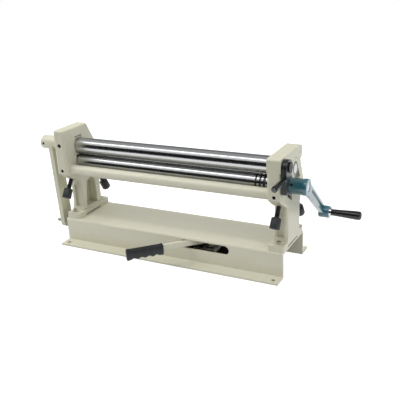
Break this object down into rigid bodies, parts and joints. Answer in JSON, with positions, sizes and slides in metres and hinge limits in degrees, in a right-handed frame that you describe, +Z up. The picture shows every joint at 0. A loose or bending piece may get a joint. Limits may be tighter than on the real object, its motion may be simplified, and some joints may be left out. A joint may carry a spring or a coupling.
{
  "type": "manual slip roll",
  "caption": "Bench sheet-metal slip roll with polished rolls between cast end frames on a folded base, side crank, adjusting knobs, swing-up bearing cap, latch and lift lever.",
  "frame": {"origin": "centre of the four bolt holes in the base flanges, on the bench plane", "axes": "+X along the rolls towards the crank, +Y from the feeding side to the rear roll, +Z up from the bench"},
  "size_m": [0.9331, 0.3523, 0.35],
  "materials": {
    "cream_enamel": "satin enamel",
    "polished_steel": "ground and polished",
    "zinc_steel": "zinc plated",
    "black_oxide": "black oxide",
    "bronze": "machined bronze",
    "cast_block": "machined iron",
    "teal_paint": "gloss paint",
    "chrome": "polished",
    "black_plastic": "gloss",
    "charcoal_plastic": "matte",
    "black_rubber": "soft moulding"
  },
  "bodies": {
    "base": {"base_channel": "cream_enamel", "left_end_frame": "cream_enamel", "right_end_frame": "cream_enamel", "cap_hinge_pin": "zinc_steel", "tie_bar": "cream_enamel", "tie_bar_set_screws": "black_oxide", "foot_bolts": "zinc_steel", "foot_washers": "zinc_steel", "foot_nuts": "zinc_steel", "upper_bush_lower_half": "bronze", "swivel_screws": "black_oxide", "latch_keeper_pin": "zinc_steel", "lever_pivot_stud": "zinc_steel", "lever_pivot_washer": "zinc_steel", "lever_pivot_nut": "zinc_steel"},
    "lower_bearings": {"left_lower_bearing_block": "cast_block", "right_lower_bearing_block": "cast_block"},
    "lower_roll_and_crank": {"lower_roll": "polished_steel", "crank_arm": "teal_paint", "crank_set_screw": "black_oxide", "handle_spindle": "zinc_steel", "handle_washer": "chrome"},
    "crank_grip": {"crank_grip": "black_plastic"},
    "left_pad": {"left_thrust_pad": "bronze"},
    "right_pad": {"right_thrust_pad": "bronze"},
    "left_front_adjuster": {"left_front_screw": "black_oxide", "left_front_knob": "charcoal_plastic"},
    "right_front_adjuster": {"right_front_screw": "black_oxide", "right_front_knob": "charcoal_plastic"},
    "rear_bearings": {"left_rear_bearing_block": "cast_block", "right_rear_bearing_block": "cast_block"},
    "rear_roll": {"rear_roll": "polished_steel"},
    "left_rear_adjuster": {"left_rear_screw": "black_oxide", "left_rear_knob": "charcoal_plastic"},
    "right_rear_adjuster": {"right_rear_screw": "black_oxide", "right_rear_knob": "charcoal_plastic"},
    "lift_assembly": {"swivel_block": "cast_block", "lift_arm": "cream_enamel", "lift_arm_screw": "black_oxide"},
    "upper_roll": {"upper_roll": "polished_steel"},
    "bearing_cap": {"bearing_cap": "cream_enamel", "upper_bush_cap_half": "bronze", "latch_pivot_screw": "zinc_steel"},
    "latch": {"latch_plate": "black_oxide", "latch_handle": "black_plastic", "latch_ferrule": "zinc_steel"},
    "lever": {"lever_bar": "cream_enamel", "lever_grip": "black_rubber", "lever_eccentric": "zinc_steel"},
    "link": {"link_rod": "zinc_steel", "link_yoke": "zinc_steel", "link_washer": "zinc_steel", "link_nut": "zinc_steel"}
  },
  "joints": [
    {"name": "lower_roll_lift", "type": "slide", "parent": "base", "child": "lower_bearings", "axis": [0, 0, 1], "range_m": [-0.008, 0.004]},
    {"name": "lower_roll_spin", "type": "hinge", "parent": "lower_bearings", "child": "lower_roll_and_crank", "pos_m": [0, -0.03, 0.242], "axis": [1, 0, 0], "continuous": true},
    {"name": "crank_grip_spin", "type": "hinge", "parent": "lower_roll_and_crank", "child": "crank_grip", "pos_m": [0.45, 0.125, 0.119], "axis": [1, 0, 0], "continuous": true},
    {"name": "left_pad_slide", "type": "slide", "parent": "base", "child": "left_pad", "axis": [0, 0.5403, 0.8415], "range_m": [-0.0068, 0.0034]},
    {"name": "right_pad_slide", "type": "slide", "parent": "base", "child": "right_pad", "axis": [0, 0.5403, 0.8415], "range_m": [-0.0068, 0.0034]},
    {"name": "left_front_screw_turn", "type": "hinge", "parent": "left_pad", "child": "left_front_adjuster", "pos_m": [-0.329, -0.06242, 0.19151], "axis": [0, 0.5403, 0.8415], "range_deg": [-1212, 606]},
    {"name": "right_front_screw_turn", "type": "hinge", "parent": "right_pad", "child": "right_front_adjuster", "pos_m": [0.329, -0.06242, 0.19151], "axis": [0, 0.5403, 0.8415], "range_deg": [-1212, 606]},
    {"name": "rear_roll_lift", "type": "slide", "parent": "base", "child": "rear_bearings", "axis": [0, -0.5, 0.866], "range_m": [-0.024, 0]},
    {"name": "rear_roll_spin", "type": "hinge", "parent": "rear_bearings", "child": "rear_roll", "pos_m": [0, 0.0137, 0.2733], "axis": [1, 0, 0], "continuous": true},
    {"name": "left_rear_screw_turn", "type": "hinge", "parent": "rear_bearings", "child": "left_rear_adjuster", "pos_m": [-0.329, 0.0587, 0.19536], "axis": [0, -0.5, 0.866], "range_deg": [-4320, 0]},
    {"name": "right_rear_screw_turn", "type": "hinge", "parent": "rear_bearings", "child": "right_rear_adjuster", "pos_m": [0.329, 0.0587, 0.19536], "axis": [0, -0.5, 0.866], "range_deg": [-4320, 0]},
    {"name": "upper_roll_tilt", "type": "hinge", "parent": "base", "child": "lift_assembly", "pos_m": [-0.329, -0.03, 0.3047], "axis": [0, -1, 0], "range_deg": [0, 2.6]},
    {"name": "upper_roll_spin", "type": "hinge", "parent": "lift_assembly", "child": "upper_roll", "pos_m": [0, -0.03, 0.2923], "axis": [1, 0, 0], "continuous": true},
    {"name": "cap_swing", "type": "hinge", "parent": "base", "child": "bearing_cap", "pos_m": [0.3285, 0.0485, 0.308], "axis": [-1, 0, 0], "range_deg": [0, 38]},
    {"name": "latch_swing", "type": "hinge", "parent": "bearing_cap", "child": "latch", "pos_m": [0.355, -0.074, 0.305], "axis": [-1, 0, 0], "range_deg": [0, 75]},
    {"name": "lever_swing", "type": "hinge", "parent": "base", "child": "lever", "pos_m": [0.1205, -0.03, 0.054], "axis": [0, 0, 1], "range_deg": [0, 91]},
    {"name": "link_rod_slide", "type": "slide", "parent": "base", "child": "link", "axis": [1, 0, 0], "range_m": [0, 0.0122]}
  ],
  "couplings": [
    {"joint": "left_pad_slide", "follows": "lower_roll_lift", "ratio": 0.84148},
    {"joint": "right_pad_slide", "follows": "lower_roll_lift", "ratio": 0.84148},
    {"joint": "left_front_screw_turn", "follows": "lower_roll_lift", "rad_per_m": 2643.6},
    {"joint": "right_front_screw_turn", "follows": "lower_roll_lift", "rad_per_m": 2643.6},
    {"joint": "left_rear_screw_turn", "follows": "rear_roll_lift", "rad_per_m": 3141.6},
    {"joint": "right_rear_screw_turn", "follows": "rear_roll_lift", "rad_per_m": 3141.6},
    {"joint": "cap_swing", "follows": "upper_roll_tilt", "ratio": 14.615},
    {"joint": "latch_swing", "follows": "upper_roll_tilt", "ratio": 28.846},
    {"joint": "lever_swing", "follows": "upper_roll_tilt", "ratio": 34.999},
    {"joint": "link_rod_slide", "follows": "upper_roll_tilt", "m_per_rad": 0.26876}
  ]
}
